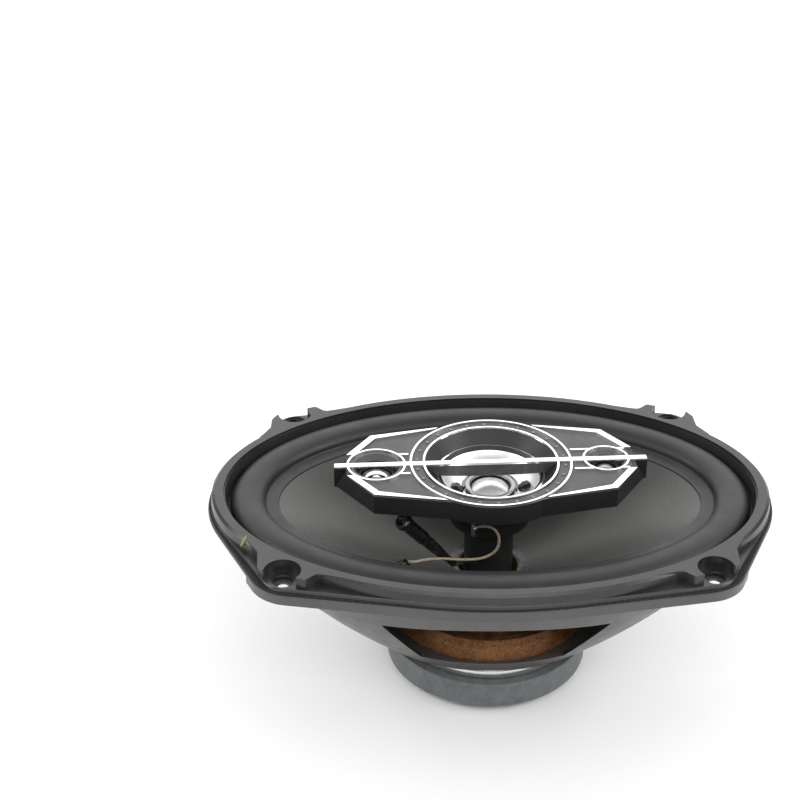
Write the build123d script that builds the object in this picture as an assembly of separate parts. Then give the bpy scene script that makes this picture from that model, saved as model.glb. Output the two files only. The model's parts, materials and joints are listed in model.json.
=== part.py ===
from build123d import *
import math
import os

# Coaxial car speaker, 6 x 9 inch class, four-way.
# Millimetres. +Z is the listening direction, +X the long axis. Heights below are measured
# from the lowest rim of the flange's skirt. The parts are written with the origin on the
# speaker's axis in the mounting plane, the flat underside of the flange.

# ---------------------------------------------------------------- driving dimensions
# mounting
HOLE_X, HOLE_Y = 84.0, 60.0          # half spacing of the four mounting holes
SCREW_HOLE_R = 2.3
LEDGE_HOLE_R, LEDGE_STEP_R = 4.1, 5.0
EAR_RECESS_R = 7.3

# basket, pressed steel
STEEL = 1.0
FLANGE_TOP = 4.2
FLANGE_A, FLANGE_B = 118.0, 78.8
FLANGE_EAR = (80.2, 49.4, 18.0)      # centre and radius of the rounding of each ear's corner
SKIRT_END_Y = 52.0                   # the turned-down skirt stops here; the two ends have none
OPENING_A, OPENING_B = 108.8, 71.8
WALL = 1.3
BASKET_BOTTOM = -55.3
BASKET_SECTIONS = [(110.0, 73.0, FLANGE_TOP - STEEL), (92.0, 60.5, -22.0), (52.0, 39.6, BASKET_BOTTOM)]
SHELF_TOP, SHELF_R = -47.0, 40.0
WINDOW_TOP, WINDOW_TIP, WINDOW_FOOT = -16.0, -20.5, -46.6
WINDOW_TIP_X, WINDOW_FOOT_X = 46.0, 29.5
END_WINDOW_TOP, END_WINDOW_TIP, END_WINDOW_FOOT = -14.0, -18.0, -42.0
END_WINDOW_TIP_Y, END_WINDOW_FOOT_Y = 27.0, 18.0

# gasket and plastic trim ring
GASKET_TOP = 5.4
LEDGE_TOP = 7.0
RING_TOP = 11.5
RING_A, RING_B = 116.8, 78.3
RING_EAR = (82.9, 56.0, 10.0)
GASKET_INSET = 0.35
RING_INNER_TOP = (111.3, 73.2)
RING_INNER_FOOT = (109.2, 71.7)

# moving cone and its suspension
CONE_T = 0.9
CONE_RIM_Z = 3.9
CONE_RIM = (93.6, 56.6)
CONE_TOP = (88.0, 51.0)
NECK_R, NECK_Z = 14.0, -29.6
ROLL_MID = (101.25, 64.25)
ROLL_HALF, ROLL_TOP, RUBBER = 7.25, 10.0, 0.7
FORMER_R_IN, FORMER_R_OUT, FORMER_TOP, FORMER_FOOT = 12.9, 13.1, -28.9, -62.2
COIL_R, COIL_TOP, COIL_FOOT = 13.5, -53.6, -61.8
SPIDER_R, SPIDER_T = 43.9, 0.5

# motor
TOP_PLATE_R, TOP_PLATE_T = 39.4, 4.7
MAGNET_R, MAGNET_BORE_R, MAGNET_T = 43.2, 18.5, 11.5
GAP_R = 14.1
POLE_R, POLE_TOP = 12.3, -54.6
BACK_PLATE_R, BACK_PLATE_T = 36.0, 3.6
POST_R, POST_BORE_R = 10.4, 2.2

# bridge that carries the midrange and the three tweeters
BRIDGE_TURN = 2.3                    # degrees, how far it is screwed round on its post
BRIDGE_FLOOR, BRIDGE_FACE, CHROME_TOP = 14.2, 22.4, 23.2
BRIDGE_WALL = 1.6
BRIDGE_END_X, BRIDGE_END_Y = 60.0, 7.0
BRIDGE_CORNER_X, BRIDGE_CORNER_Y = 49.3, 23.2
BRIDGE_MID_Y = 32.4                  # where the two long edges would meet
BRIDGE_ROUND_R = 34.2
BAR_HALF, BAR_W, TAB_FOOT = 65.1, 3.2, 13.7
RING_OUT_R, RING_OUT_W = 33.7, 0.9
RING_IN_R, RING_IN_W = 28.3, 0.9
STUDS, STUD_RING_R, STUD_R = 26, 30.8, 0.75
LEFT_X, LEFT_RING_R, LEFT_OPENING_R = -47.6, 12.3, 9.6
RIGHT_X, RIGHT_RING_R, RIGHT_OPENING_R = 48.0, 9.7, 7.8
SMALL_RING_W = 0.9
LINE_Y, LINE_W, LINE_INNER_X = 8.0, 1.1, 33.9
STRIP_W, STRIP_THIN_W, STRIP_INNER_X = 3.2, 1.5, 20.0

# midrange
CUP_R, CUP_FLOOR, CUP_WALL = 17.5, -5.0, 1.2
CUP_NECK_R = 24.1
MID_RIM_R, MID_CONE_R = 22.6, 20.4
MID_NECK_R, MID_NECK_Z = 12.4, 10.8
MID_COIL_R = 12.1
CENTER_R, CENTER_TOP = 10.6, 11.8

# front tinsel lead: its route is a list of points chosen by hand
TINSEL_D = 1.2
TINSEL_ROUTE = [
    (-6.8, -19.0, 3.1), (-2.6, -18.9, 3.9), (1.9, -18.7, 1.2), (3.3, -18.6, -4.6),
    (1.8, -17.9, -10.2), (-3.4, -16.9, -14.2), (-11.0, -16.3, -15.2), (-19.5, -16.0, -14.6),
    (-27.0, -16.6, -14.5), (-32.4, -18.1, -15.0), (-35.0, -20.3, -12.9),
]
TINSEL_DAB = (-36.8, -21.9, -12.5)
SLEEVE_TOP, SLEEVE_TIP = (-37.4, -22.6, 9.4), (-15.2, -8.4, -22.6)
SLEEVE_R, SLEEVE_TIP_R = 2.8, 1.2
LEAD_WIRE_R, LEAD_WIRE_RING_R = 0.5, 11.7

# terminal board, on a pad over the rear window
BOARD_BACK = 69.0
PAD_TOP, PAD_FOOT, RIVET_Z = -7.5, -16.0, -11.8

os.makedirs("parts", exist_ok=True)
parts = {}


# ---------------------------------------------------------------- shared shapes
def disc(radius, low, high, x=0.0, y=0.0):
    return Pos(x, y, (low + high) / 2) * Cylinder(radius, high - low)


def tube(outer, inner, low, high, x=0.0, y=0.0):
    return disc(outer, low, high, x, y) - disc(inner, low - 1, high + 1, x, y)


def block(x0, x1, y0, y1, z0, z1):
    centre = Pos((x0 + x1) / 2, (y0 + y1) / 2, (z0 + z1) / 2)
    return centre * Box(x1 - x0, y1 - y0, z1 - z0)


def oval_stack(sections, ruled=True):
    """A solid through ovals, each given as (half length, half width, height)."""
    return loft([Pos(0, 0, z) * Ellipse(a, b) for a, b, z in sections], ruled=ruled)


def oval(a, b, low, high):
    return Pos(0, 0, low) * extrude(Ellipse(a, b), high - low)


def turned(points):
    """A solid of revolution about Z from a closed (radius, height) outline."""
    outline = make_face(Polyline(*[(r, 0, z) for r, z in points], close=True))
    return revolve(outline, Axis.Z)


def tangent_angle(a, b, ear, low, high):
    """The oval's parameter, in degrees, where its tangent also touches the ear's rounding circle."""
    ear_x, ear_y, ear_r = ear

    def gap(deg):
        t = math.radians(deg)
        nx, ny = math.cos(t) / a, math.sin(t) / b
        size = math.hypot(nx, ny)
        return (1 - nx * ear_x - ny * ear_y) / size - ear_r

    for _ in range(60):
        mid = (low + high) / 2
        if (gap(low) > 0) == (gap(mid) > 0):
            low = mid
        else:
            high = mid
    return low


def eared(a, b, ear, inset=0.0):
    """The oval with its four ears: straight runs tangent to the oval and to each ear's rounding."""
    a, b = a - inset, b - inset
    ear_x, ear_y, ear_r = ear[0], ear[1], ear[2] - inset
    t_end = tangent_angle(a, b, (ear_x, ear_y, ear_r), 1.0, 43.0)
    t_side = tangent_angle(a, b, (ear_x, ear_y, ear_r), 89.0, 47.0)
    on_oval, on_ear = [], []
    for deg in (t_end, t_side):
        t = math.radians(deg)
        nx, ny = math.cos(t) / a, math.sin(t) / b
        size = math.hypot(nx, ny)
        on_oval.append((a * math.cos(t), b * math.sin(t)))
        on_ear.append((ear_x + ear_r * nx / size, ear_y + ear_r * ny / size))
    shape = Ellipse(a, b)
    for sx in (-1, 1):
        for sy in (-1, 1):
            wing = [(0.7 * HOLE_X, 0.5 * HOLE_Y), on_oval[0], on_ear[0], on_ear[1], on_oval[1]]
            shape += make_face(Polyline(*[(sx * x, sy * y) for x, y in wing], close=True))
            shape += Pos(sx * ear_x, sy * ear_y) * Circle(ear_r)
    return shape


def at_holes(radius, low, high):
    spots = [(sx * HOLE_X, sy * HOLE_Y) for sx in (-1, 1) for sy in (-1, 1)]
    return Part() + [disc(radius, low, high, x, y) for x, y in spots]


def on_bridge(shape):
    return Rot(0, 0, BRIDGE_TURN) * shape


# ---------------------------------------------------------------- basket and frame pieces
def window_cutter(tip, foot, top, tip_z, foot_z):
    """The outline of a window, drawn in the XZ plane and cut along Y."""
    side = Line((tip, 0, tip_z), (foot, 0, foot_z))
    other = Line((-foot, 0, foot_z), (-tip, 0, tip_z))
    outline = ThreePointArc((-tip, 0, tip_z), (0, 0, top), (tip, 0, tip_z))
    return make_face(outline + side + Line((foot, 0, foot_z), (-foot, 0, foot_z)) + other)


def make_basket():
    plate = extrude(eared(FLANGE_A, FLANGE_B, FLANGE_EAR), FLANGE_TOP)
    plate -= Pos(0, 0, -STEEL) * extrude(eared(FLANGE_A, FLANGE_B, FLANGE_EAR, STEEL), FLANGE_TOP)
    rim = plate.edges().group_by(Axis.Z)[-1]
    plate = fillet(rim, 0.6)
    for side in (-1, 1):
        x0, x1 = sorted((side * 85, side * (FLANGE_A + 5)))
        plate -= block(x0, x1, -SKIRT_END_Y, SKIRT_END_Y, -1, FLANGE_TOP - STEEL)
    a, b, z = BASKET_SECTIONS[0]
    shell = oval_stack(BASKET_SECTIONS, ruled=False)
    (a1, b1, z1), (a2, b2, z2) = BASKET_SECTIONS[1:]
    inside = oval_stack(
        [(a - WALL, b - WALL, z), (a1 - WALL, b1 - WALL, z1), (a2 - WALL, b2 - WALL, z2 + WALL)],
        ruled=False,
    )
    wall = shell - inside
    front = window_cutter(WINDOW_TIP_X, WINDOW_FOOT_X, WINDOW_TOP, WINDOW_TIP, WINDOW_FOOT)
    end = window_cutter(
        END_WINDOW_TIP_Y, END_WINDOW_FOOT_Y, END_WINDOW_TOP, END_WINDOW_TIP, END_WINDOW_FOOT
    )
    for turn in (0, 180):
        wall -= Rot(0, 0, turn) * Pos(0, -38, 0) * extrude(front, 50, dir=(0, -1, 0))
        wall -= Rot(0, 0, turn + 90) * Pos(0, -50, 0) * extrude(end, 60, dir=(0, -1, 0))
    shelf = (inside & block(-70, 70, -50, 50, SHELF_TOP - STEEL, SHELF_TOP))
    shelf -= disc(SHELF_R, SHELF_TOP - 5, SHELF_TOP + 5)
    pad = block(-13, 13, 55, BOARD_BACK, PAD_FOOT, PAD_TOP) - inside
    basket = plate + wall + shelf + pad
    basket -= oval(OPENING_A, OPENING_B, FLANGE_TOP - STEEL - 0.5, FLANGE_TOP + 1)
    basket -= disc(20.0, BASKET_BOTTOM - 1, BASKET_BOTTOM + 3)
    basket -= at_holes(SCREW_HOLE_R, -1, FLANGE_TOP + 1)
    for x in (-7, 7):
        basket -= Pos(x, 62, RIVET_Z) * Rot(90, 0, 0) * Cylinder(1.65, 30)
    return basket


def make_gasket():
    gasket = extrude(eared(FLANGE_A, FLANGE_B, FLANGE_EAR, GASKET_INSET), GASKET_TOP - FLANGE_TOP)
    gasket = Pos(0, 0, FLANGE_TOP) * gasket
    gasket -= oval(113.9, 76.4, FLANGE_TOP - 1, GASKET_TOP + 1)
    return gasket - at_holes(LEDGE_HOLE_R, FLANGE_TOP - 1, GASKET_TOP + 1)


def ear_platform(sx, sy):
    """The raised part beside one screw recess: a wave with a tip on the long side, a cusp at the end."""
    corners = [
        (58.0, 58.0), (58.0, 66.0), (66.0, 63.5), (70.6, 62.3), (75.0, 66.4), (78.6, 65.0),
        (84.0, 58.0), (92.2, 59.3), (93.9, 58.0), (94.3, 47.4), (98.6, 40.0), (86.0, 40.0),
    ]
    face = make_face(Polyline(*[(sx * x, sy * y) for x, y in corners], close=True))
    for x, radius in ((70.6, 3.0), (75.0, 1.3), (93.9, 0.8)):
        face = fillet(face.vertices().filter_by(lambda v: abs(abs(v.X) - x) < 0.01), radius)
    return Pos(0, 0, LEDGE_TOP) * extrude(face, RING_TOP - LEDGE_TOP)


def make_trim_ring():
    """Lower plate with ears, raised oval wall, and a platform with a screw recess at each ear."""
    lower = Pos(0, 0, GASKET_TOP) * extrude(eared(RING_A, RING_B, RING_EAR), LEDGE_TOP - GASKET_TOP)
    lower = chamfer(lower.edges().group_by(Axis.Z)[-1], 0.35)
    bevel = 1.1
    a, b = RING_A - 0.3, RING_B - 0.2
    upper = oval_stack([(a, b, LEDGE_TOP), (a - 0.4, b - 0.4, RING_TOP - bevel)])
    upper += oval_stack([(a - 0.4, b - 0.4, RING_TOP - bevel), (a - 0.4 - bevel, b - 0.4 - bevel, RING_TOP)])
    inset = Pos(0, 0, LEDGE_TOP) * extrude(eared(RING_A, RING_B, RING_EAR, 0.5), RING_TOP - LEDGE_TOP)
    for sx in (-1, 1):
        for sy in (-1, 1):
            upper += ear_platform(sx, sy) & inset
    ring = lower + upper
    ring -= at_holes(EAR_RECESS_R, LEDGE_TOP, RING_TOP + 1)
    ring -= at_holes(LEDGE_STEP_R, LEDGE_TOP - 0.6, LEDGE_TOP + 1)
    ring -= at_holes(LEDGE_HOLE_R, GASKET_TOP - 1, LEDGE_TOP + 1)
    step = RING_TOP - 1.2
    (ta, tb), (fa, fb) = RING_INNER_TOP, RING_INNER_FOOT
    ring -= oval_stack([(ta, tb, step), (ta, tb, RING_TOP + 1)])
    ring -= oval_stack([(fa, fb, GASKET_TOP - 0.5), (ta - 0.6, tb - 0.6, step)])
    return ring


# ---------------------------------------------------------------- motor
def make_motor():
    plate_top = BASKET_BOTTOM
    plate_foot = plate_top - TOP_PLATE_T
    magnet_foot = plate_foot - MAGNET_T
    back_foot = magnet_foot - BACK_PLATE_T
    plate = tube(TOP_PLATE_R, GAP_R, plate_foot, plate_top)
    plate = fillet(plate.edges().filter_by(GeomType.CIRCLE).sort_by(SortBy.RADIUS)[-2:], 1.2)
    magnet = tube(MAGNET_R, MAGNET_BORE_R, magnet_foot, plate_foot)
    magnet = chamfer(magnet.edges().filter_by(GeomType.CIRCLE).sort_by(SortBy.RADIUS)[-2:], 0.4)
    yoke = disc(BACK_PLATE_R, back_foot, magnet_foot)
    yoke = fillet(yoke.edges().filter_by(GeomType.CIRCLE).group_by(Axis.Z)[0], 1.0)
    yoke += disc(POLE_R, magnet_foot, POLE_TOP)
    yoke -= disc(2.6, back_foot - 1, POLE_TOP + 1)
    yoke -= disc(5.2, back_foot - 1, back_foot + 2.2)
    parts["top_plate"] = plate
    parts["magnet"] = magnet
    parts["t_yoke"] = yoke
    seat = back_foot + 2.2
    screw = disc(4.6, seat - 1.9, seat) + disc(2.1, seat, seat + 34)
    slots = block(-3.0, 3.0, -0.45, 0.45, seat - 3, seat - 0.9)
    parts["post_screw"] = screw - slots - Rot(0, 0, 90) * slots
    post = disc(POST_R, POLE_TOP, CUP_FLOOR) - disc(POST_BORE_R, POLE_TOP - 1, seat + 34.5)
    parts["bridge_post"] = post


# ---------------------------------------------------------------- moving assembly
CONE_TOP_SECTIONS = [(*CONE_TOP, CONE_RIM_Z), (NECK_R, NECK_R, NECK_Z)]


def cone_space():
    """The space above the cone's front surface."""
    return oval_stack(CONE_TOP_SECTIONS)


def make_cone():
    lower = oval_stack([(a, b, z - CONE_T) for a, b, z in CONE_TOP_SECTIONS])
    shell = lower - cone_space() - disc(FORMER_R_OUT + 0.05, NECK_Z - 3, NECK_Z + 3)
    edge = oval(*CONE_RIM, CONE_RIM_Z - CONE_T, CONE_RIM_Z) - cone_space()
    parts["cone"] = shell + edge
    parts["voice_coil_former"] = tube(FORMER_R_OUT, FORMER_R_IN, FORMER_FOOT, FORMER_TOP)
    parts["voice_coil"] = tube(COIL_R, FORMER_R_OUT + 0.02, COIL_FOOT, COIL_TOP)
    inner = FORMER_R_OUT + 0.05
    fillet_shape = turned([(inner, NECK_Z - 1), (18.0, NECK_Z + 1.5), (17.8, NECK_Z + 3.0), (inner, NECK_Z + 0.5)])
    parts["neck_glue"] = fillet_shape & cone_space()
    x, y, z = TINSEL_DAB
    parts["lead_eyelet"] = (Pos(x, y, z) * Sphere(2.3)) & cone_space()


def make_surround():
    """Half-roll rubber edge, swept round the oval, with a lip on the frame and one on the cone."""
    out, h = ROLL_HALF, FLANGE_TOP
    lip_out, lip_in = 4.6, 5.6
    lip_z = CONE_RIM_Z + 0.05
    top = ThreePointArc((out, 0, h + 0.9), (0, 0, ROLL_TOP), (-out, 0, h + 0.6))
    under = ThreePointArc(
        (-out + RUBBER, 0, lip_z), (0, 0, ROLL_TOP - RUBBER), (out - RUBBER, 0, h)
    )
    edges = [
        Line((out + lip_out, 0, h), (out + lip_out, 0, h + 0.9)),
        Line((out + lip_out, 0, h + 0.9), (out, 0, h + 0.9)),
        top,
        Line((-out, 0, h + 0.6), (-out - lip_in, 0, h + 0.6)),
        Line((-out - lip_in, 0, h + 0.6), (-out - lip_in, 0, lip_z)),
        Line((-out - lip_in, 0, lip_z), (-out + RUBBER, 0, lip_z)),
        under,
        Line((out - RUBBER, 0, h), (out + lip_out, 0, h)),
    ]
    profile = Pos(ROLL_MID[0], 0, 0) * make_face(Wire(edges))
    path = Wire([Edge.make_ellipse(*ROLL_MID)])
    parts["surround"] = sweep(profile, path=path)


def make_spider():
    """Corrugated cloth disc: flat collar on the former, waves, a raised outer roll, flat landing."""
    crest, trough = -40.2, -42.2
    line = [(FORMER_R_OUT + 0.1, trough + 0.6), (17.4, trough + 0.6)]
    radius = 19.0
    for wave in range(8):
        line.append((radius, crest if wave % 2 else trough))
        radius += 2.1
    line += [(37.3, -41.9), (40.4, -38.9), (42.2, -41.4), (42.9, -45.8), (SPIDER_R, SHELF_TOP)]
    upper = Spline(*[(r, 0, z + SPIDER_T) for r, z in line])
    lower = Spline(*[(r, 0, z) for r, z in line])
    ends = [Line(upper @ 0, lower @ 0), Line(upper @ 1, lower @ 1)]
    parts["spider"] = revolve(make_face(Wire([upper, lower, *ends])), Axis.Z)


# ---------------------------------------------------------------- bridge
def bridge_polygon(end_x, end_y):
    corner = [
        (end_x, end_y), (BRIDGE_CORNER_X, BRIDGE_CORNER_Y), (0, BRIDGE_MID_Y),
        (-BRIDGE_CORNER_X, BRIDGE_CORNER_Y), (-end_x, end_y),
    ]
    points = corner + [(x, -y) for x, y in reversed(corner)]
    return make_face(Polyline(*points, close=True))


def bridge_outline(inset=0.0):
    shape = bridge_polygon(BRIDGE_END_X, BRIDGE_END_Y)
    if inset:
        shape = offset(shape, -inset, kind=Kind.INTERSECTION)
    return shape + Circle(BRIDGE_ROUND_R - inset)


def bar_zone(extra=0.0):
    half = BAR_W / 2 + extra
    return block(-BAR_HALF - 1, BAR_HALF + 1, -half, half, BRIDGE_FACE - 1, CHROME_TOP + 1)


def chrome_ring(radius, width, x=0.0):
    ring = tube(radius, radius - width, BRIDGE_FACE, CHROME_TOP, x)
    return ring - bar_zone()


def make_bridge_body():
    foot = Pos(0, 0, BRIDGE_FLOOR) * bridge_polygon(BAR_HALF - 0.6, BAR_W / 2)
    top = Pos(0, 0, BRIDGE_FACE) * bridge_polygon(BRIDGE_END_X, BRIDGE_END_Y)
    tray = loft([foot, top], ruled=True) + disc(BRIDGE_ROUND_R, BRIDGE_FLOOR, BRIDGE_FACE)
    room = extrude(bridge_outline(BRIDGE_WALL), BRIDGE_FACE - BRIDGE_FLOOR)
    tray -= Pos(0, 0, BRIDGE_FLOOR + 1.4) * room
    for side in (-1, 1):
        x0, x1 = sorted((side * (BRIDGE_END_X - 0.5), side * BAR_HALF))
        tray += block(x0, x1, -BAR_W / 2, BAR_W / 2, TAB_FOOT, BRIDGE_FACE)
    tray -= disc(CUP_NECK_R, BRIDGE_FLOOR - 1, BRIDGE_FLOOR + 2)
    face = Pos(0, 0, BRIDGE_FACE - 1.4) * extrude(bridge_outline(BRIDGE_WALL + 0.1), 1.4)
    face -= disc(28.6, BRIDGE_FLOOR, CHROME_TOP)
    face -= disc(LEFT_OPENING_R + 0.7, BRIDGE_FLOOR, CHROME_TOP, LEFT_X)
    face -= disc(RIGHT_OPENING_R + 0.7, BRIDGE_FLOOR, CHROME_TOP, RIGHT_X)
    parts["bridge_housing"] = on_bridge(tray)
    parts["bridge_faceplate"] = on_bridge(face)


def make_bar():
    """Chrome bar over the whole bridge, with a deep web under it across the centre opening."""
    bar = block(-BAR_HALF, BAR_HALF, -BAR_W / 2, BAR_W / 2, BRIDGE_FACE, CHROME_TOP)
    bar = chamfer(bar.edges().group_by(Axis.Z)[-1], 0.25)
    reach, low, middle = 30.0, 18.2, 17.0
    arch = ThreePointArc((-reach, 0, low), (0, 0, middle), (reach, 0, low))
    sides = Line((reach, 0, low), (reach, 0, BRIDGE_FACE)) + Line((-reach, 0, BRIDGE_FACE), (-reach, 0, low))
    web = make_face(arch + sides + Line((reach, 0, BRIDGE_FACE), (-reach, 0, BRIDGE_FACE)))
    web = extrude(web, BAR_W / 2 - 0.1, both=True)
    bore = turned([(0, BRIDGE_FACE), (27.4, BRIDGE_FACE), (MID_RIM_R - 0.1, 17.6), (MID_RIM_R - 1, 10), (0, 10)])
    parts["chrome_bar"] = on_bridge(bar + (web & bore))


def make_strips():
    """One chrome strip along each slanted corner, cut square to the bar at one end and thinner inward."""
    ex, ey, cx, cy = BRIDGE_END_X, BRIDGE_END_Y, BRIDGE_CORNER_X, BRIDGE_CORNER_Y
    slope = (BRIDGE_MID_Y - cy) / cx
    inner_y = cy + (cx - STRIP_INNER_X) * slope
    shrink = 0.25
    outline = [
        (ex - shrink, LINE_Y), (cx - shrink / 2, cy - shrink), (STRIP_INNER_X, inner_y - shrink),
        (STRIP_INNER_X + 1.5, inner_y - STRIP_THIN_W), (cx - 2.0, cy - STRIP_W + 0.6),
        (ex - STRIP_W - 0.4, LINE_Y),
    ]
    keep = disc(BRIDGE_ROUND_R + 60, BRIDGE_FACE, CHROME_TOP) - disc(RING_OUT_R, BRIDGE_FACE - 1, CHROME_TOP + 1)
    strips = Part()
    for sx in (-1, 1):
        hole = LEFT_RING_R if sx < 0 else RIGHT_RING_R
        x = LEFT_X if sx < 0 else RIGHT_X
        for sy in (-1, 1):
            face = make_face(Polyline(*[(sx * px, sy * py) for px, py in outline], close=True))
            strip = Pos(0, 0, BRIDGE_FACE) * extrude(face, CHROME_TOP - BRIDGE_FACE)
            y0, y1 = sorted((sy * (LINE_Y - LINE_W), sy * LINE_Y))
            x0, x1 = sorted((sx * LINE_INNER_X, sx * (ex - STRIP_W)))
            strip += block(x0, x1, y0, y1, BRIDGE_FACE, CHROME_TOP)
            strips += (strip & keep) - disc(hole, BRIDGE_FACE - 1, CHROME_TOP + 1, x)
    parts["chrome_strips"] = on_bridge(strips)


def make_bridge_trim():
    parts["chrome_ring_outer"] = on_bridge(chrome_ring(RING_OUT_R, RING_OUT_W))
    parts["chrome_ring_inner"] = on_bridge(chrome_ring(RING_IN_R, RING_IN_W))
    parts["chrome_ring_left"] = on_bridge(chrome_ring(LEFT_RING_R, SMALL_RING_W, LEFT_X))
    parts["chrome_ring_right"] = on_bridge(chrome_ring(RIGHT_RING_R, SMALL_RING_W, RIGHT_X))
    studs = Part()
    for i in range(STUDS):
        angle = math.radians((i + 0.5) * 360 / STUDS)
        x, y = STUD_RING_R * math.cos(angle), STUD_RING_R * math.sin(angle)
        studs += disc(STUD_R, BRIDGE_FACE, BRIDGE_FACE + 0.3, x, y)
    parts["ring_studs"] = on_bridge(studs)
    make_bar()
    make_strips()


# ---------------------------------------------------------------- midrange and tweeters
def make_midrange():
    floor, wall = CUP_FLOOR, CUP_WALL
    parts["mid_cup"] = turned([
        (28.4, BRIDGE_FACE), (28.4, 15.6), (CUP_NECK_R, 15.6), (CUP_NECK_R, 13.6), (22.3, 12.6),
        (CUP_R, 9.6), (CUP_R, floor + 2.5), (CUP_R - 0.7, floor + 0.8), (CUP_R - 2.4, floor),
        (0, floor), (0, floor + wall), (CUP_R - wall, floor + wall), (CUP_R - wall, 10.3),
        (19.2, 13.2), (MID_CONE_R + 0.5, 14.6), (MID_CONE_R + 0.5, 16.2), (MID_RIM_R, 16.2),
        (MID_RIM_R, 17.6), (27.5, BRIDGE_FACE),
    ])
    base = floor + wall
    parts["mid_yoke"] = turned([
        (0, base), (16.1, base), (16.1, 6.5), (13.0, 6.5), (13.0, base + 2.2), (0, base + 2.2),
    ])
    parts["mid_magnet"] = disc(10.9, base + 2.2, 3.9)
    parts["mid_pole_plate"] = disc(11.4, 3.9, 6.5)
    coil_foot = 2.6
    parts["mid_voice_coil"] = tube(MID_COIL_R + 0.3, MID_COIL_R - 0.2, coil_foot, 10.9)
    cone_r, cone_z, t = MID_CONE_R, 16.0, 0.35
    nr, nz = MID_NECK_R + 0.05, MID_NECK_Z
    bow = 0.9
    top = ThreePointArc((cone_r, 0, cone_z), ((cone_r + nr) / 2, 0, (cone_z + nz) / 2 - bow), (nr, 0, nz))
    low = ThreePointArc(
        (nr, 0, nz - t), ((cone_r + nr) / 2, 0, (cone_z + nz) / 2 - bow - t), (cone_r, 0, cone_z - t)
    )
    sides = [Line((nr, 0, nz), (nr, 0, nz - t)), Line((cone_r, 0, cone_z - t), (cone_r, 0, cone_z))]
    parts["mid_cone"] = revolve(make_face(Wire([top, sides[0], low, sides[1]])), Axis.Z)
    parts["mid_surround"] = turned([(cone_r + r, z) for r, z in (
        (2.0, 16.2), (2.0, 16.6), (1.4, 16.9), (0.6, 17.0), (0.1, 16.5), (0.1, 16.1), (0.7, 16.5), (1.3, 16.4),
    )])
    parts["mid_rim_ring"] = tube(MID_RIM_R - 0.05, MID_RIM_R - 0.7, 16.95, 17.5)
    dabs = Part()
    space = turned([(cone_r, cone_z), (nr, nz), (nr, 20), (cone_r, 20)])
    for x in (-14.2, 14.2):
        dabs += (Pos(x, -2.5, 12.0) * Sphere(2.1)) & space
    parts["mid_lead_dabs"] = on_bridge(dabs)
    parts["center_stem"] = disc(3.0, 6.5, 7.6)
    parts["center_tweeter_body"] = turned([
        (0, 7.6), (9.6, 7.6), (10.2, 8.2), (10.2, 11.0), (8.4, 11.0), (8.4, 9.4), (0, 9.4),
    ])
    parts["center_tweeter_ring"] = turned([
        (8.5, 11.0), (CENTER_R, 11.0), (CENTER_R, 11.5), (CENTER_R - 0.4, CENTER_TOP), (8.9, CENTER_TOP),
    ])
    parts["center_dome"] = dome(7.9, 10.2, 2.6, 0.3)


def dome(radius, base, rise, sag, x=0.0):
    """A thin spherical cap of the given rise; sag is its thickness."""
    big = (radius ** 2 + rise ** 2) / (2 * rise)
    low = base + rise - sag - (big - sag - math.sqrt((big - sag) ** 2 - (radius - 0.6) ** 2))
    foot = Line((radius, 0, base), (radius - 0.6, 0, max(low, base)))
    inner_edge = (radius - 0.6, 0, max(low, base))
    half = 0.5 * radius
    top_z = base + rise - (big - math.sqrt(big ** 2 - half ** 2))
    low_z = base + rise - sag - (big - sag - math.sqrt((big - sag) ** 2 - half ** 2))
    upper = ThreePointArc((0, 0, base + rise), (half, 0, top_z), (radius, 0, base))
    lower = ThreePointArc(inner_edge, (half, 0, low_z), (0, 0, base + rise - sag))
    axis = Line((0, 0, base + rise - sag), (0, 0, base + rise))
    return Pos(x, 0, 0) * revolve(make_face(Wire([upper, foot, lower, axis])), Axis.Z)


def tweeter(name, x, opening, dome_r, face_z):
    """Bowl, magnet disc and dome of one end tweeter, under the faceplate."""
    top = BRIDGE_FACE - 1.4
    bowl = turned([
        (opening, BRIDGE_FACE), (opening + 0.7, BRIDGE_FACE), (opening + 0.7, top - 0.1),
        (dome_r + 2.6, face_z - 0.6), (dome_r + 2.6, BRIDGE_FLOOR + 1.4),
        (dome_r + 0.5, BRIDGE_FLOOR + 1.4), (dome_r + 0.5, face_z), (dome_r + 1.3, face_z),
    ])
    parts[f"{name}_tweeter_bowl"] = on_bridge(Pos(x, 0, 0) * bowl)
    parts[f"{name}_tweeter_magnet"] = on_bridge(disc(dome_r - 0.6, BRIDGE_FLOOR + 1.4, face_z - 1.1, x))
    parts[f"{name}_dome"] = on_bridge(dome(dome_r, face_z - 0.6, 0.36 * dome_r, 0.3, x))
    parts[f"{name}_tweeter_ring"] = on_bridge(tube(dome_r + 1.2, dome_r + 0.1, face_z, face_z + 0.5, x))


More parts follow.
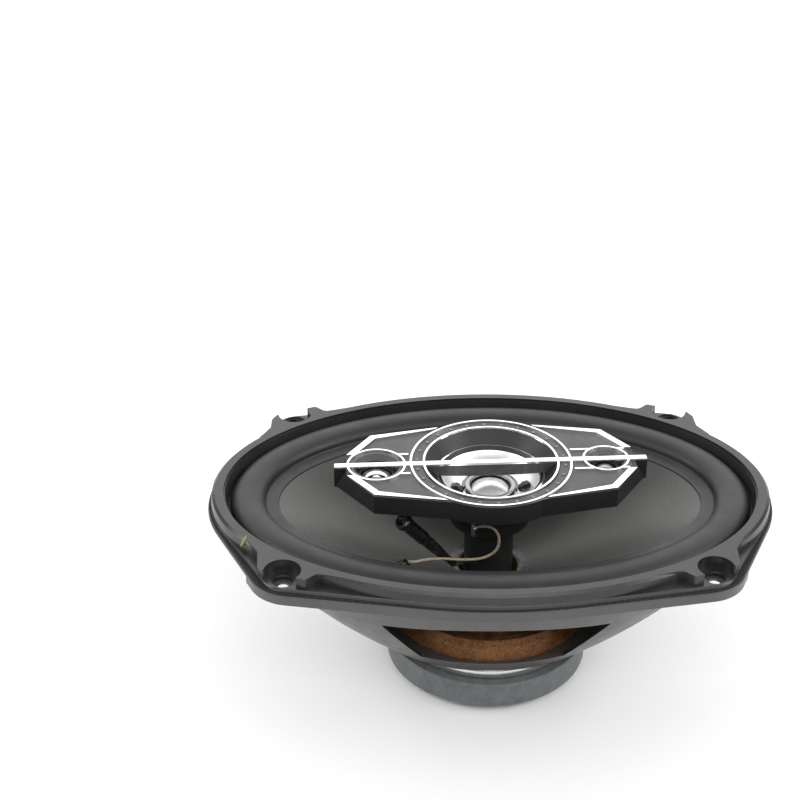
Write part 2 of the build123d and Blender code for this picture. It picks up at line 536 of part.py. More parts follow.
# ---------------------------------------------------------------- leads and terminals
def make_leads():
    """Tinsel lead from the solder lug to the cone, and the shrink sleeve with its capacitor."""
    corners = [Vector(*p) for p in TINSEL_ROUTE]
    radii, route = [], 0.0
    for before, here, after in zip(corners, corners[1:], corners[2:]):
        turn = (here - before).get_angle(after - here)
        run = min((here - before).length, (after - here).length)
        radii.append(0.45 * run / math.tan(math.radians(turn / 2)))
    path = FilletPolyline(*corners, radius=radii)
    start = Plane(origin=corners[0], z_dir=corners[1] - corners[0])
    lead = sweep(start * Circle(TINSEL_D / 2), path=path)
    route = path.length
    section = math.pi * TINSEL_D ** 2 / 4
    print("tinsel radii", [round(r, 1) for r in radii], "length", round(route, 1))
    print("tinsel volume", round(lead.volume, 2), "section x length", round(section * route, 2))
    parts["tinsel_lead"] = lead
    spot = Rot(0, 0, math.degrees(math.atan2(-17.5, -7.6)) + 180)
    lug = block(-CUP_R - 2.2, -CUP_R + 0.05, -0.9, 0.9, 0.2, 0.8)
    lug += block(-CUP_R - 2.2, -CUP_R - 1.6, -0.9, 0.9, -2.2, 4.2)
    lug -= disc(CUP_R, -6, 6)
    parts["solder_lug"] = spot * lug

    axis = Vector(*SLEEVE_TIP) - Vector(*SLEEVE_TOP)
    frame = Plane(origin=SLEEVE_TOP, z_dir=axis)
    full, taper = axis.length, axis.length * 0.62
    bore = 2.3
    outer = turned([(0, 0), (SLEEVE_R - 0.4, 0), (SLEEVE_R, 0.6), (SLEEVE_R, taper), (SLEEVE_TIP_R, full), (0, full)])
    parts["capacitor_sleeve"] = frame * (outer - disc(bore, 2.0, 17.0))
    parts["crossover_capacitor"] = frame * disc(bore - 0.05, 2.5, 16.0)
    wires = Part()
    for turn in (-3.2, 3.2):
        side = math.radians(180 + math.degrees(math.atan2(8.4, 15.2)) + turn)
        out = [(r * math.cos(side), r * math.sin(side), z) for r, z in
               ((17.2, -22.9), (LEAD_WIRE_RING_R, -23.6), (LEAD_WIRE_RING_R, POLE_TOP))]
        start = Plane(origin=out[0], z_dir=Vector(*out[1]) - Vector(*out[0]))
        wires += sweep(start * Circle(LEAD_WIRE_R), path=FilletPolyline(*out, radius=2.0))
    parts["bridge_leads"] = wires


def make_terminals():
    """Phenolic board riveted to the pad over the rear window, with a wide and a narrow spade."""
    back, board_t = BOARD_BACK, 1.6
    board = block(-13, 13, back, back + board_t, PAD_TOP - 22, PAD_TOP)
    lugs = Part()
    for x, half in ((-7, 3.15), (7, 1.4)):
        hole = Pos(x, back, RIVET_Z) * Rot(90, 0, 0) * Cylinder(1.65, 10)
        board -= hole
        lug = block(x - half, x + half, back + board_t, back + board_t + 0.8, PAD_TOP - 29, RIVET_Z - 4)
        lug += block(x - 3.15, x + 3.15, back + board_t, back + board_t + 0.8, RIVET_Z - 6, PAD_TOP - 1)
        lug -= hole
        lugs += lug
    rivets = Part()
    for x in (-7, 7):
        head = back + board_t + 0.8
        rivets += Pos(x, head + 0.5, RIVET_Z) * Rot(90, 0, 0) * Cylinder(2.8, 1.0)
        rivets += Pos(x, head - 2.6, RIVET_Z) * Rot(90, 0, 0) * Cylinder(1.6, 5.2)
    parts["terminal_board"] = board
    parts["terminal_spades"] = lugs
    parts["terminal_rivets"] = rivets


# ---------------------------------------------------------------- build and write
parts["basket"] = make_basket()
parts["gasket"] = make_gasket()
parts["trim_ring"] = make_trim_ring()
make_motor()
make_cone()
make_surround()
make_spider()
make_bridge_body()
make_bridge_trim()
make_midrange()
tweeter("left", LEFT_X, LEFT_OPENING_R, 6.5, 17.6)
tweeter("right", RIGHT_X, RIGHT_OPENING_R, 4.4, 18.2)
make_leads()
make_terminals()

mounting_plane = FLANGE_TOP - STEEL
for name, shape in parts.items():
    export_step(Pos(0, 0, -mounting_plane) * shape, f"parts/{name}.step")
print(len(parts), "nodes")
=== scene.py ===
import json
import math

import bmesh
import bpy
import numpy as np
from mathutils import Matrix, Vector, noise


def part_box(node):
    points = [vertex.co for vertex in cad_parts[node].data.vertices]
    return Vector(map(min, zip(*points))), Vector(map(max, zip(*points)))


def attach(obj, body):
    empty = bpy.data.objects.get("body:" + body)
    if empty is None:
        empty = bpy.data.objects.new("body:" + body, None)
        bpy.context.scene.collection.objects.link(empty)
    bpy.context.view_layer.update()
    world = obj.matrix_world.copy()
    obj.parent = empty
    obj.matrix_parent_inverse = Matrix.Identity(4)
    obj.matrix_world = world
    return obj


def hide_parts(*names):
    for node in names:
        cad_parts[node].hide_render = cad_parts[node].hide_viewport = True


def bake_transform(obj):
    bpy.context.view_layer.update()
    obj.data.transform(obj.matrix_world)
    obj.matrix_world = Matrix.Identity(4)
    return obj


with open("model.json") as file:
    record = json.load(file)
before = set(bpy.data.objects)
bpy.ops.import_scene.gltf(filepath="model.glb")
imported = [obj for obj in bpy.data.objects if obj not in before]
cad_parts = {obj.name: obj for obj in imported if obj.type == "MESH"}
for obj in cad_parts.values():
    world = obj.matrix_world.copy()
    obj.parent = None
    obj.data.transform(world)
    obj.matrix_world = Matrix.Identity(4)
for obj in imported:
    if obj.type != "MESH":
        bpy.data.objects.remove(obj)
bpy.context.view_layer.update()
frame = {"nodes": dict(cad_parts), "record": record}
NODES = frame["nodes"]
MM = 0.001
RIM_Z = -3.2                         # height of the skirt's rim; the heights below are taken from it
TURN = math.radians(2.3)             # the bridge is screwed on a little out of line


# ---------------------------------------------------------------- camera
def make_camera():
    data = bpy.data.cameras.new("camera")
    data.lens = 74.81
    data.sensor_width = 36.0
    camera = bpy.data.objects.new("camera", data)
    camera.location = (-0.04589, -0.58489, 0.38702 + RIM_Z * MM)
    camera.rotation_euler = (math.radians(90 - 29.76), 0, math.radians(-0.80))
    bpy.context.scene.collection.objects.link(camera)
    bpy.context.scene.camera = camera


# ---------------------------------------------------------------- materials
class Surface:
    """A Principled material with object-space noise for its colour, roughness and relief."""

    def __init__(self, name, dark, light, rough=(0.4, 0.5), metal=0.0, spec=0.5):
        self.material = bpy.data.materials.new(name)
        self.material.use_nodes = True
        self.tree = self.material.node_tree
        self.shader = self.tree.nodes["Principled BSDF"]
        self.dark, self.light, self.rough = dark, light, rough
        self.shader.inputs["Metallic"].default_value = metal
        self.shader.inputs["Specular IOR Level"].default_value = spec
        self.normal = None
        self.coords = self.add("ShaderNodeTexCoord").outputs["Object"]

    def add(self, kind, **values):
        node = self.tree.nodes.new(kind)
        for key, value in values.items():
            setattr(node, key, value)
        return node

    def link(self, a, b):
        self.tree.links.new(a, b)

    def mapped(self, stretch):
        node = self.add("ShaderNodeMapping")
        node.inputs["Scale"].default_value = stretch
        self.link(self.coords, node.inputs["Vector"])
        return node.outputs["Vector"]

    def noise(self, scale, detail=4.0, stretch=None, roughness=0.55):
        node = self.add("ShaderNodeTexNoise")
        node.inputs["Scale"].default_value = scale
        node.inputs["Detail"].default_value = detail
        node.inputs["Roughness"].default_value = roughness
        source = self.mapped(stretch) if stretch else self.coords
        self.link(source, node.inputs["Vector"])
        return node.outputs["Fac"]

    def math(self, kind, a, b):
        node = self.add("ShaderNodeMath", operation=kind)
        for socket, value in zip(node.inputs, (a, b)):
            if isinstance(value, (int, float)):
                socket.default_value = value
            else:
                self.link(value, socket)
        return node.outputs[0]

    def spread(self, value, low, high, lo=0.3, hi=0.7):
        node = self.add("ShaderNodeMapRange")
        for key, number in (("From Min", lo), ("From Max", hi), ("To Min", low), ("To Max", high)):
            node.inputs[key].default_value = number
        self.link(value, node.inputs["Value"])
        return node.outputs[0]

    def colour(self, value, stops=None):
        node = self.add("ShaderNodeValToRGB")
        ramp = node.color_ramp
        stops = stops or [(0.32, self.dark), (0.68, self.light)]
        ramp.elements[0].position, ramp.elements[0].color = stops[0][0], (*stops[0][1], 1)
        ramp.elements[1].position, ramp.elements[1].color = stops[-1][0], (*stops[-1][1], 1)
        for place, rgb in stops[1:-1]:
            ramp.elements.new(place).color = (*rgb, 1)
        self.link(value, node.inputs["Fac"])
        self.link(node.outputs["Color"], self.shader.inputs["Base Color"])
        return node.outputs["Color"]

    def roughness(self, value):
        self.link(self.spread(value, *self.rough), self.shader.inputs["Roughness"])

    def relief(self, value, height, strength=1.0):
        node = self.add("ShaderNodeBump")
        node.inputs["Distance"].default_value = height
        node.inputs["Strength"].default_value = strength
        self.link(value, node.inputs["Height"])
        if self.normal:
            self.link(self.normal, node.inputs["Normal"])
        self.normal = node.outputs["Normal"]
        self.link(self.normal, self.shader.inputs["Normal"])

    def noisy(self, broad, fine, height, stretch=None):
        """Broad noise for colour, finer noise for gloss, and fine noise for relief."""
        self.colour(self.noise(broad, 6.0, stretch))
        self.roughness(self.noise(broad * 3.1, 4.0, stretch))
        self.relief(self.noise(fine, 3.0, stretch), height)
        return self


def grey(value, warm=0.0):
    return (value * (1 + warm), value, value * (1 - warm))


def make_materials():
    m = {}
    m["steel_coated"] = make_steel()
    m["gasket_foam"] = Surface("foam", grey(0.006), grey(0.014), (0.75, 0.9)).noisy(300, 1800, 1e-4)
    ring = Surface("ring plastic", grey(0.017), grey(0.024), (0.24, 0.34))
    m["ring_plastic"] = ring.noisy(45, 3200, 1.5e-5)
    zinc = Surface("zinc plate", grey(0.70, 0.01), grey(0.84, 0.02), (0.08, 0.16), metal=1.0)
    m["zinc_plate"] = zinc.noisy(90, 900, 1e-5, (1, 1, 6))
    m["ferrite"] = make_ferrite()
    screw = Surface("screw steel", grey(0.5), grey(0.65), (0.2, 0.35), metal=1.0)
    m["screw_steel"] = screw.noisy(200, 3000, 1e-5)
    plain = Surface("black plastic", grey(0.010), grey(0.017), (0.38, 0.5))
    m["black_plastic"] = plain.noisy(80, 2500, 1e-5)
    m["cone_film"] = make_cone_film()
    former = Surface("former", (0.10, 0.07, 0.03), (0.20, 0.15, 0.08), (0.3, 0.4), metal=0.3)
    m["former_film"] = former.noisy(200, 2000, 1e-5)
    m["copper_wire"] = Surface("copper", (0.5, 0.2, 0.08), (0.7, 0.32, 0.14), (0.25, 0.4), metal=1.0)
    m["copper_wire"].noisy(300, 5200, 6e-5, (0.1, 0.1, 1))
    m["glue"] = Surface("glue", grey(0.022), grey(0.045), (0.22, 0.36)).noisy(160, 900, 8e-5)
    m["black_glue"] = Surface("black glue", grey(0.006), grey(0.014), (0.15, 0.3)).noisy(300, 1300, 8e-5)
    rubber = Surface("surround rubber", grey(0.012), grey(0.018), (0.42, 0.52))
    m["surround_rubber"] = rubber.noisy(35, 2400, 1.6e-5)
    m["spider_cloth"] = make_cloth()
    housing = Surface("housing plastic", grey(0.008), grey(0.013), (0.40, 0.5))
    m["housing_plastic"] = housing.noisy(60, 2600, 1.6e-5)
    m["face_plastic"] = Surface("gloss black", grey(0.010), grey(0.016), (0.22, 0.34)).noisy(90, 2200, 1e-5)
    m["chrome"] = Surface("chrome", grey(0.90), grey(0.95), (0.08, 0.16), metal=1.0).noisy(130, 1500, 1e-6)
    stud = Surface("stud", grey(0.14), grey(0.20), (0.35, 0.45), metal=0.3)
    m["stud_metal"] = stud.noisy(300, 3000, 1e-5)
    silver = Surface("silver film", grey(0.78), grey(0.86), (0.30, 0.38), metal=0.8)
    m["silver_film"] = silver.noisy(60, 2600, 2e-6)
    m["cup_plastic"] = Surface("cup plastic", grey(0.012), grey(0.018), (0.40, 0.5)).noisy(60, 2200, 3e-6)
    satin = Surface("satin metal", grey(0.4), grey(0.5), (0.3, 0.42), metal=1.0)
    m["satin_metal"] = satin.noisy(200, 3000, 1e-5)
    braid = Surface("tinsel braid", (0.28, 0.22, 0.16), (0.60, 0.51, 0.40), (0.45, 0.6), metal=0.25)
    m["tinsel_braid"] = braid.noisy(1500, 5000, 4e-5)
    tin = Surface("tin", grey(0.6, 0.01), grey(0.72, 0.02), (0.2, 0.35), metal=1.0)
    m["tin"] = tin.noisy(250, 2200, 2e-5)
    m["black_sleeve"] = Surface("shrink sleeve", grey(0.009), grey(0.016), (0.2, 0.3)).noisy(120, 1200, 5e-5)
    capacitor = Surface("capacitor", (0.02, 0.05, 0.12), (0.03, 0.07, 0.16), (0.25, 0.35))
    m["cap_body"] = capacitor.noisy(100, 2000, 1e-5)
    phenolic = Surface("phenolic", (0.05, 0.022, 0.008), (0.09, 0.04, 0.014), (0.4, 0.5))
    m["phenolic"] = phenolic.noisy(140, 2600, 2e-5)
    m["gunmetal"] = Surface("gunmetal paint", grey(0.060, 0.02), grey(0.080, 0.03), (0.40, 0.5), metal=0.2)
    m["gunmetal"].noisy(120, 3600, 1.4e-5)
    m["bar"] = two_finishes("bar", 22.3, (grey(0.012), 0.0, 0.4), (grey(0.92), 1.0, 0.1))
    # the bowls are black plastic below their lip height, and grey and partly metallic above it
    dark_bowl, grey_lip = (grey(0.012), 0.0, 0.3), (grey(0.13, 0.02), 0.3, 0.4)
    m["left_bowl"] = two_finishes("left bowl", 19.6, dark_bowl, grey_lip)
    m["right_bowl"] = two_finishes("right bowl", 20.4, dark_bowl, grey_lip)
    paint = Surface("check paint", (0.13, 0.15, 0.035), (0.21, 0.23, 0.06), (0.4, 0.5))
    m["check_paint"] = paint.noisy(900, 2600, 2e-5)
    return m


def two_finishes(name, height, low, high):
    """One finish below a height and another above it, each given as (colour, metal, roughness)."""
    surface = Surface(name, low[0], high[0])
    node = surface.add("ShaderNodeSeparateXYZ")
    surface.link(surface.coords, node.inputs[0])
    level = (height + RIM_Z) * MM
    above = surface.spread(node.outputs["Z"], 0.0, 1.0, level - 1e-4, level + 1e-4)
    grain = surface.noise(400, 3.0)
    shade = surface.math("ADD", surface.math("MULTIPLY", above, 0.9), surface.math("MULTIPLY", grain, 0.1))
    surface.colour(shade, [(0.0, low[0]), (1.0, high[0])])
    surface.link(surface.spread(above, low[1], high[1], 0.0, 1.0), surface.shader.inputs["Metallic"])
    gloss = surface.spread(above, low[2], high[2], 0.0, 1.0)
    rough = surface.math("ADD", gloss, surface.math("MULTIPLY", grain, 0.06))
    surface.link(rough, surface.shader.inputs["Roughness"])
    surface.relief(surface.noise(2600, 2.0), 8e-6)
    return surface


def make_steel():
    """Grey coat, with painted shade: darker, near black, on the surfaces that face the speaker's axis."""
    surface = Surface("coated steel", grey(0.060, 0.02), grey(0.082, 0.04), (0.30, 0.42))
    normal = surface.add("ShaderNodeSeparateXYZ")
    place = surface.add("ShaderNodeSeparateXYZ")
    surface.link(surface.add("ShaderNodeNewGeometry").outputs["Normal"], normal.inputs[0])
    surface.link(surface.coords, place.inputs[0])
    # painted shade: faces turned towards the speaker's axis are coloured darker, where the basket's inside
    # lies in shade
    across = surface.math("MULTIPLY", normal.outputs["X"], place.outputs["X"])
    along = surface.math("MULTIPLY", normal.outputs["Y"], place.outputs["Y"])
    painted_shade_by_facing = surface.spread(surface.math("ADD", across, along), 0.0, 0.75, -0.012, -0.002)
    grain = surface.math("MULTIPLY", surface.noise(60, 6.0), 0.25)
    # the near-black first stop is the painted shade on the inward-facing surfaces
    stops = [(0.05, grey(0.010)), (0.80, surface.dark), (0.95, surface.light)]
    surface.colour(surface.math("ADD", painted_shade_by_facing, grain), stops)
    surface.roughness(surface.noise(186, 4.0))
    surface.relief(surface.noise(2600, 3.0), 2e-5)
    return surface


def make_ferrite():
    """Fired ceramic: greenish grey, mottled, with fine pits."""
    surface = Surface("ferrite", (0.092, 0.102, 0.103), (0.150, 0.162, 0.164), (0.45, 0.6), metal=0.1)
    mottle = surface.noise(240, 7.0, roughness=0.7)
    surface.colour(mottle)
    surface.roughness(surface.noise(120, 4.0))
    surface.relief(surface.noise(1500, 4.0), 5e-5)
    surface.relief(surface.noise(260, 3.0), 8e-5)
    return surface


def make_cone_film():
    """Pearly olive-grey film over the cone, with fine straight hairlines across it."""
    surface = Surface("cone film", (0.068, 0.068, 0.063), (0.098, 0.098, 0.092), (0.36, 0.46), metal=0.3)
    lines = surface.noise(420, 3.0, (9, 0.25, 0.25))
    broad = surface.noise(26, 3.0)
    mixed = surface.math("ADD", surface.math("MULTIPLY", lines, 0.6), surface.math("MULTIPLY", broad, 0.4))
    surface.colour(mixed)
    surface.roughness(broad)
    surface.relief(lines, 2.6e-5)
    surface.relief(surface.noise(60, 3.0), 6e-5)
    return surface


def make_cloth():
    """Resin-treated brown cotton with an open, uneven weave."""
    surface = Surface("spider cloth", (0.040, 0.016, 0.006), (0.34, 0.155, 0.062), (0.7, 0.85), spec=0.2)
    threads = surface.noise(1500, 2.0, roughness=0.7)
    blotch = surface.noise(160, 5.0)
    weave, stain = surface.math("MULTIPLY", threads, 0.6), surface.math("MULTIPLY", blotch, 0.4)
    surface.colour(surface.math("ADD", weave, stain))
    surface.roughness(blotch)
    surface.relief(threads, 2.2e-4)
    return surface


# ---------------------------------------------------------------- mesh building
def new_mesh(name, verts, faces, surface):
    mesh = bpy.data.meshes.new(name)
    mesh.from_pydata([tuple(v) for v in verts], [], faces)
    mesh.polygons.foreach_set("use_smooth", [True] * len(faces))
    mesh.materials.append(surface.material)
    mesh.update()
    obj = bpy.data.objects.new(name, mesh)
    bpy.context.scene.collection.objects.link(obj)
    return obj


def lattice(rows, cols, wrap_rows, wrap_cols):
    """Quads of a rows x cols grid of points, with each direction closed or open."""
    faces = []
    for i in range(rows if wrap_rows else rows - 1):
        for j in range(cols if wrap_cols else cols - 1):
            k, n = (i + 1) % rows, (j + 1) % cols
            faces.append((i * cols + j, k * cols + j, k * cols + n, i * cols + n))
    return faces


def smoothstep(value, start, end):
    t = np.clip((np.asarray(value, float) - start) / (end - start), 0, 1)
    return t * t * (3 - 2 * t)


def ring_of(name, profile, steps, surface, radii=(0.0, 0.0)):
    """Sweeps a closed (offset, height) profile in mm round an oval of the given half axes, or round Z."""
    a, b = radii
    verts = []
    for i in range(steps):
        t = 2 * math.pi * i / steps
        c, s = math.cos(t), math.sin(t)
        nx, ny = (c, s)
        if a:
            size = math.hypot(c / a, s / b)
            nx, ny = c / a / size, s / b / size
        for offset, height in profile:
            x, y = a * c + offset * nx, b * s + offset * ny
            verts.append((x * MM, y * MM, (height + RIM_Z) * MM))
    return new_mesh(name, verts, lattice(steps, len(profile), True, True), surface)


# ---------------------------------------------------------------- soft pieces
def make_surround(mats):
    half, foot, crest, skin = 7.25, 5.1, 10.0, 0.7
    top, under = [], []
    for i in range(33):
        t = math.pi * i / 32
        top.append((half * math.cos(t), foot - 0.3 + (crest - foot + 0.3) * math.sin(t) ** 0.9))
        under.append(((half - skin) * math.cos(t), foot - 0.85 + (crest - foot + 0.1) * math.sin(t) ** 0.9))
    outer_lip = [(11.7, 4.3), (11.7, 5.0), (8.3, 5.05)]
    inner_lip = [(-7.9, 4.62), (-9.5, 4.56), (-12.2, 4.42), (-12.6, 4.36), (-12.78, 4.2), (-12.8, 4.0)]
    profile = outer_lip + top[:-1] + inner_lip + [(-8.2, 4.0)] + under[::-1][1:] + [(8.0, 4.3)]
    obj = ring_of("surround", profile, 320, mats["surround_rubber"], (101.25, 64.25))
    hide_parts("surround")
    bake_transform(obj)


def spider_height(radius):
    """Height of the spider cloth, in mm, at a radius in mm."""
    marks = [
        (13.2, -41.6), (16.6, -41.6), (17.6, -41.2), (19.0, -39.9), (21.1, -42.2), (23.2, -39.9),
        (25.3, -42.2), (27.4, -39.9), (29.5, -42.2), (31.6, -39.9), (33.7, -42.2), (35.4, -40.8),
        (37.3, -42.4),
        (40.3, -38.9), (42.0, -41.2), (42.9, -45.6), (43.5, -46.75), (43.9, -46.75),
    ]
    for (r0, z0), (r1, z1) in zip(marks, marks[1:]):
        if radius <= r1:
            t = (radius - r0) / (r1 - r0)
            t = t * t * (3 - 2 * t)
            return z0 + (z1 - z0) * t
    return marks[-1][1]


def make_spider(mats):
    radii = np.linspace(13.2, 43.9, 124)
    top = [(r, spider_height(r) + 0.25) for r in radii]
    low = [(r, spider_height(r) - 0.2) for r in radii[::-1]]
    profile = top + low
    obj = ring_of("spider", profile, 240, mats["spider_cloth"])
    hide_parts("spider")
    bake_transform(obj)


def make_mid_surround(mats):
    edge = 20.4
    top = [(2.0, 16.25), (2.0, 16.62), (1.6, 16.8), (1.3, 16.98), (1.0, 17.05), (0.7, 16.98)]
    top += [(0.4, 16.75), (0.1, 16.5)]
    under = [(0.1, 16.15), (0.5, 16.3), (1.0, 16.6), (1.5, 16.45)]
    profile = [(edge + offset, height) for offset, height in top + under]
    obj = ring_of("mid_surround", profile, 160, mats["surround_rubber"])
    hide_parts("mid_surround")
    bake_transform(obj)


# ---------------------------------------------------------------- the front lead
TINSEL_ROUTE = [
    (-6.8, -19.0, 3.1), (-2.6, -18.9, 3.9), (1.9, -18.7, 1.2), (3.3, -18.6, -4.6),
    (1.8, -17.9, -10.2), (-3.4, -16.9, -14.2), (-11.0, -16.3, -15.2), (-19.5, -16.0, -14.6),
    (-27.0, -16.6, -14.5), (-32.4, -18.1, -15.0), (-35.0, -20.3, -12.9),
]
TINSEL_RADIUS = 0.6


def smooth_line(points, resolution):
    """Points along the NURBS spline that has the route's points as its controls."""
    curve = bpy.data.curves.new("route", "CURVE")
    curve.dimensions = "3D"
    spline = curve.splines.new("NURBS")
    spline.points.add(len(points) - 1)
    for point, place in zip(spline.points, points):
        point.co = (place[0] * MM, place[1] * MM, (place[2] + RIM_Z) * MM, 1)
    spline.order_u = 3
    spline.use_endpoint_u = True
    spline.resolution_u = resolution
    holder = bpy.data.objects.new("route", curve)
    bpy.context.scene.collection.objects.link(holder)
    mesh = bpy.data.meshes.new_from_object(holder)
    line = [v.co.copy() for v in mesh.vertices]
    bpy.data.objects.remove(holder)
    bpy.data.meshes.remove(mesh)
    return line


def tube_along(name, line, radius_at, sides, surface):
    """A closed tube; radius_at(distance, angle) gives its radius in metres."""
    verts, travelled = [], 0.0
    side = Vector((0, 1, 0))
    for i, centre in enumerate(line):
        ahead = (line[min(i + 1, len(line) - 1)] - line[max(i - 1, 0)]).normalized()
        side = (side - ahead * side.dot(ahead)).normalized()
        other = ahead.cross(side)
        if i:
            travelled += (centre - line[i - 1]).length
        for k in range(sides):
            t = 2 * math.pi * k / sides
            verts.append(centre + (side * math.cos(t) + other * math.sin(t)) * radius_at(travelled, t))
    faces = lattice(len(line), sides, False, True)
    faces.append(tuple(range(sides))[::-1])
    last = (len(line) - 1) * sides
    faces.append(tuple(range(last, last + sides)))
    return new_mesh(name, verts, faces, surface)


def make_tinsel(mats):
    line = smooth_line(TINSEL_ROUTE, 36)
    pitch, strands = 0.0052, 6

    def braid(distance, angle):
        turn = 2 * math.pi * distance / pitch
        over = math.cos(strands * (angle + turn)) * math.cos(strands * (angle - turn))
        return (TINSEL_RADIUS - 0.04 + 0.10 * over) * MM

    obj = tube_along("tinsel_lead", line, braid, 36, mats["tinsel_braid"])
    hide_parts("tinsel_lead")
    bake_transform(obj)


# ---------------------------------------------------------------- glue, solder and sleeve
CONE_TOP, CONE_NECK, CONE_NECK_Z, CONE_RIM_Z = (88.0, 51.0), 14.0, -29.6, 3.9


def cone_height(x, y):
    """Height of the cone's front surface, in mm, over a point in mm."""
    low, high = 0.0, 1.0
    for _ in range(30):
        t = (low + high) / 2
        a = CONE_NECK + (CONE_TOP[0] - CONE_NECK) * t
        b = CONE_NECK + (CONE_TOP[1] - CONE_NECK) * t
        if (x / a) ** 2 + (y / b) ** 2 > 1:
            low = t
        else:
            high = t
    return CONE_NECK_Z + (CONE_RIM_Z - CONE_NECK_Z) * low


def uneven(x, y, z, scale, seed=0.0):
    return noise.noise(Vector((x * scale + seed, y * scale - seed, z * scale)))


def blob(name, place, size, normal, surface, seed, body, lumps=0.16):
    """A lumpy drop: an icosphere stretched along its own axes and set with its flat side on a surface."""
    mesh = bpy.data.meshes.new(name)
    grid = bmesh.new()
    bmesh.ops.create_icosphere(grid, subdivisions=4, radius=1.0)
    for vert in grid.verts:
        x, y, z = vert.co
        swell = 1 + lumps * uneven(x, y, z, 1.7, seed) + 0.4 * lumps * uneven(x, y, z, 5.0, seed)
        vert.co = (x * size[0] * swell * MM, y * size[1] * swell * MM, z * size[2] * swell * MM)
    grid.to_mesh(mesh)
    grid.free()
    mesh.polygons.foreach_set("use_smooth", [True] * len(mesh.polygons))
    mesh.materials.append(surface.material)
    obj = bpy.data.objects.new(name, mesh)
    bpy.context.scene.collection.objects.link(obj)
    turn = Vector(normal).to_track_quat("Z", "X")
    spot = Vector((place[0] * MM, place[1] * MM, (place[2] + RIM_Z) * MM))
    mesh.transform(Matrix.Translation(spot) @ turn.to_matrix().to_4x4())
    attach(obj, body)
    return obj


def make_neck_glue(mats):
    """The fillet of glue where the former meets the cone, with an uneven outer edge."""
    steps, rows, verts = 200, 14, []
    for i in range(steps):
        t = 2 * math.pi * i / steps
        c, s = math.cos(t), math.sin(t)
        outer = 17.3 + 0.5 * uneven(3 * c, 3 * s, 0, 1.0) + 0.2 * uneven(9 * c, 9 * s, 0, 1.0)
        rise = 0.95 + 0.15 * uneven(4 * c, 4 * s, 2, 1.0)
        for k in range(rows):
            part = k / (rows - 1)
            r = 13.16 + (outer - 13.16) * part
            z = cone_height(r * c, r * s) + rise * (1 - part) ** 1.6 + 0.06 * (1 - part ** 6)
            verts.append((r * c * MM, r * s * MM, (z + RIM_Z) * MM))
        for r in (outer, 13.16):
            verts.append((r * c * MM, r * s * MM, (cone_height(r * c, r * s) - 0.35 + RIM_Z) * MM))
    obj = new_mesh("neck_glue", verts, lattice(steps, rows + 2, True, True), mats["glue"])
    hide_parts("neck_glue")
    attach(obj, "cone")


def make_glue_dabs(mats):
    x, y = -36.8, -21.9
    eyelet = blob("lead_eyelet", (x, y, cone_height(x, y) + 0.5), (2.9, 2.1, 1.7), (0.28, 0.42, 1.0),
                  mats["black_glue"], 1.3, "cone", 0.5)
    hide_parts("lead_eyelet")
    for side, name in ((-1, "mid_dab_left"), (1, "mid_dab_right")):
        x, y = side * 14.0, -2.6
        x, y = x * math.cos(TURN) - y * math.sin(TURN), x * math.sin(TURN) + y * math.cos(TURN)
        dab = blob(name, (x, y, 11.9), (2.7, 3.6, 1.3), (-side * 0.5, 0, 1.0),
                   mats["black_glue"], side, "mid")
        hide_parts("mid_lead_dabs")
    x, y, z = TINSEL_ROUTE[0]
    blob("lug_solder", (x - 0.3, y + 0.1, z + 0.1), (1.5, 1.1, 1.0), (0, -0.3, 1),
         mats["tin"], 4.2, "basket", 0.25)
    blob("paint_check", (-100.4, -38.7, 10.6), (2.6, 1.0, 0.45), (-0.75, -0.55, 0.7),
         mats["check_paint"], 2.0, "basket")


def make_sleeve(mats):
    """Shrink tube over the capacitor: swollen over its body, wrinkled, and drawn in to the leads."""
    start, end = Vector((-37.4, -22.6, 9.4)), Vector((-15.2, -8.4, -22.6))
    count = 260
    line = []
    for i in range(count + 1):
        place = start.lerp(end, i / count)
        line.append(Vector((place.x, place.y, place.z + RIM_Z)) * MM)
    length = (end - start).length

    def radius(distance, angle):
        d = distance / MM
        body = 2.95 - 0.42 * float(smoothstep(d, 16.5, 19.0))
        body -= 1.05 * float(smoothstep(d, 21.0, length - 2))
        body += 0.75 * float(smoothstep(-d, -5.5, -1.6))
        body -= 1.1 * float(smoothstep(-d, -1.1, 0.0)) ** 2
        c, s = math.cos(angle), math.sin(angle)
        creases = 0.16 * noise.noise(Vector((2.2 * c, 2.2 * s, d * 0.9)))
        rings = 0.05 * noise.noise(Vector((0.6 * c, 0.6 * s, d * 3.1 + 9)))
        flutes = 0.05 * math.cos(7 * angle + 0.3 * d) * float(smoothstep(d, 16.0, 22.0))
        return (body + creases + rings + flutes) * MM

    obj = tube_along("capacitor_sleeve", line, radius, 48, mats["black_sleeve"])
    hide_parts("capacitor_sleeve")
    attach(obj, "basket")


def roughen_gasket():
    """Gives the foam its soft rounded edge and uneven face."""
    obj = NODES["gasket"]
    remesh = obj.modifiers.new("even", "REMESH")
    remesh.mode = "VOXEL"
    remesh.voxel_size = 0.0005
    cells = bpy.data.textures.new("cells", "CLOUDS")
    cells.noise_scale = 0.0011
    push = obj.modifiers.new("cells", "DISPLACE")
    push.texture = cells
    push.strength, push.mid_level = 0.00016, 0.72


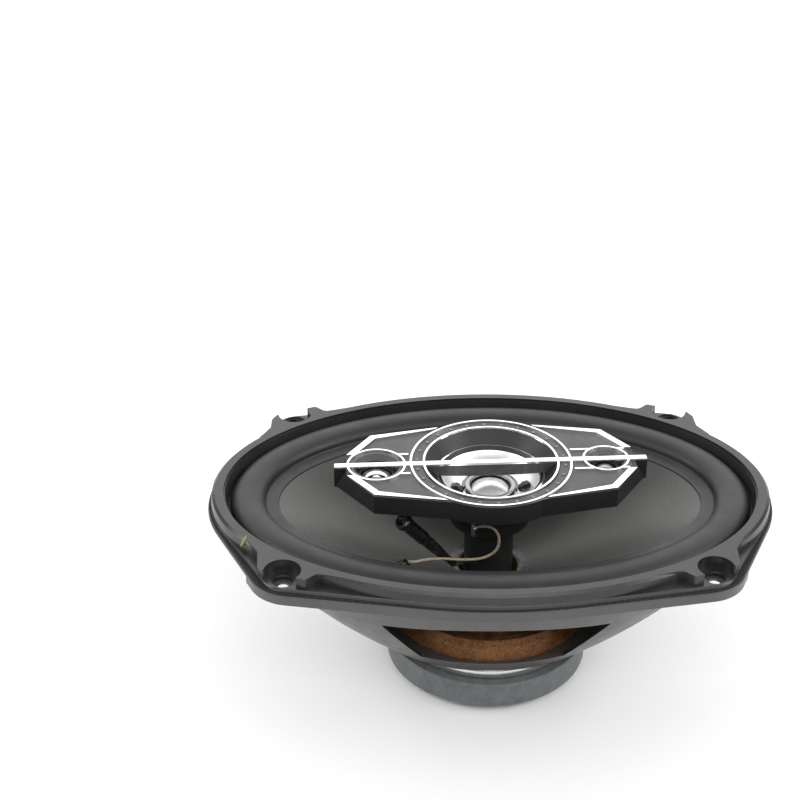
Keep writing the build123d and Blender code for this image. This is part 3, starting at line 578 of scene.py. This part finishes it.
# ---------------------------------------------------------------- carried-over nodes
def dress_nodes(mats):
    """Gives every CAD node the procedural material of its slot."""
    slots = {row["node"]: row["material_slot"] for row in frame["record"]["subparts"]}
    special = {
        "bridge_faceplate": "gunmetal", "chrome_bar": "bar", "mid_voice_coil": "silver_film",
        "left_tweeter_bowl": "left_bowl", "right_tweeter_bowl": "right_bowl", "mid_cup": "cup_plastic",
        "left_tweeter_ring": "face_plastic", "right_tweeter_ring": "face_plastic",
        "right_dome": "satin_metal",
    }
    for name, obj in NODES.items():
        surface = mats[special.get(name, slots[name])]
        obj.data.materials.clear()
        obj.data.materials.append(surface.material)


# ---------------------------------------------------------------- stage
def area_light(name, place, target, size, power):
    data = bpy.data.lights.new(name, "AREA")
    data.shape = "RECTANGLE"
    data.size, data.size_y = size
    data.energy = power
    light = bpy.data.objects.new(name, data)
    light.location = place
    light.rotation_euler = (Vector(target) - Vector(place)).to_track_quat("-Z", "Y").to_euler()
    bpy.context.scene.collection.objects.link(light)


def make_stage():
    floor_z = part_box("t_yoke")[0].z
    mesh = bpy.data.meshes.new("floor")
    r = 4.0
    corners = [(-r, -r, floor_z), (r, -r, floor_z), (r, r, floor_z), (-r, r, floor_z)]
    mesh.from_pydata(corners, [], [(0, 1, 2, 3)])
    floor = bpy.data.objects.new("floor", mesh)
    bpy.context.scene.collection.objects.link(floor)
    paper = Surface("paper", grey(0.93), grey(0.96), (0.7, 0.8)).noisy(3, 400, 1e-5)
    mesh.materials.append(paper.material)
    world = bpy.data.worlds.new("world")
    world.use_nodes = True
    back = world.node_tree.nodes["Background"]
    back.inputs["Color"].default_value = (1, 1, 1, 1)
    back.inputs["Strength"].default_value = 0.36
    bpy.context.scene.world = world
    area_light("back panel", (0.1, 1.55, 1.15), (0, 0, 0), (3.6, 2.0), 34)
    area_light("left panel", (-1.2, -0.1, 0.7), (0, 0, 0), (0.9, 0.9), 10)
    area_light("right panel", (1.2, -0.3, 0.8), (0, 0, 0), (0.9, 0.9), 12)
    area_light("front fill", (0.0, -1.3, 1.3), (0, 0, 0), (1.8, 0.6), 13)
    bpy.context.scene.view_settings.view_transform = "Standard"


make_camera()
materials = make_materials()
make_tinsel(materials)
dress_nodes(materials)
make_surround(materials)
make_spider(materials)
make_mid_surround(materials)
make_neck_glue(materials)
make_glue_dabs(materials)
make_sleeve(materials)
roughen_gasket()
make_stage()
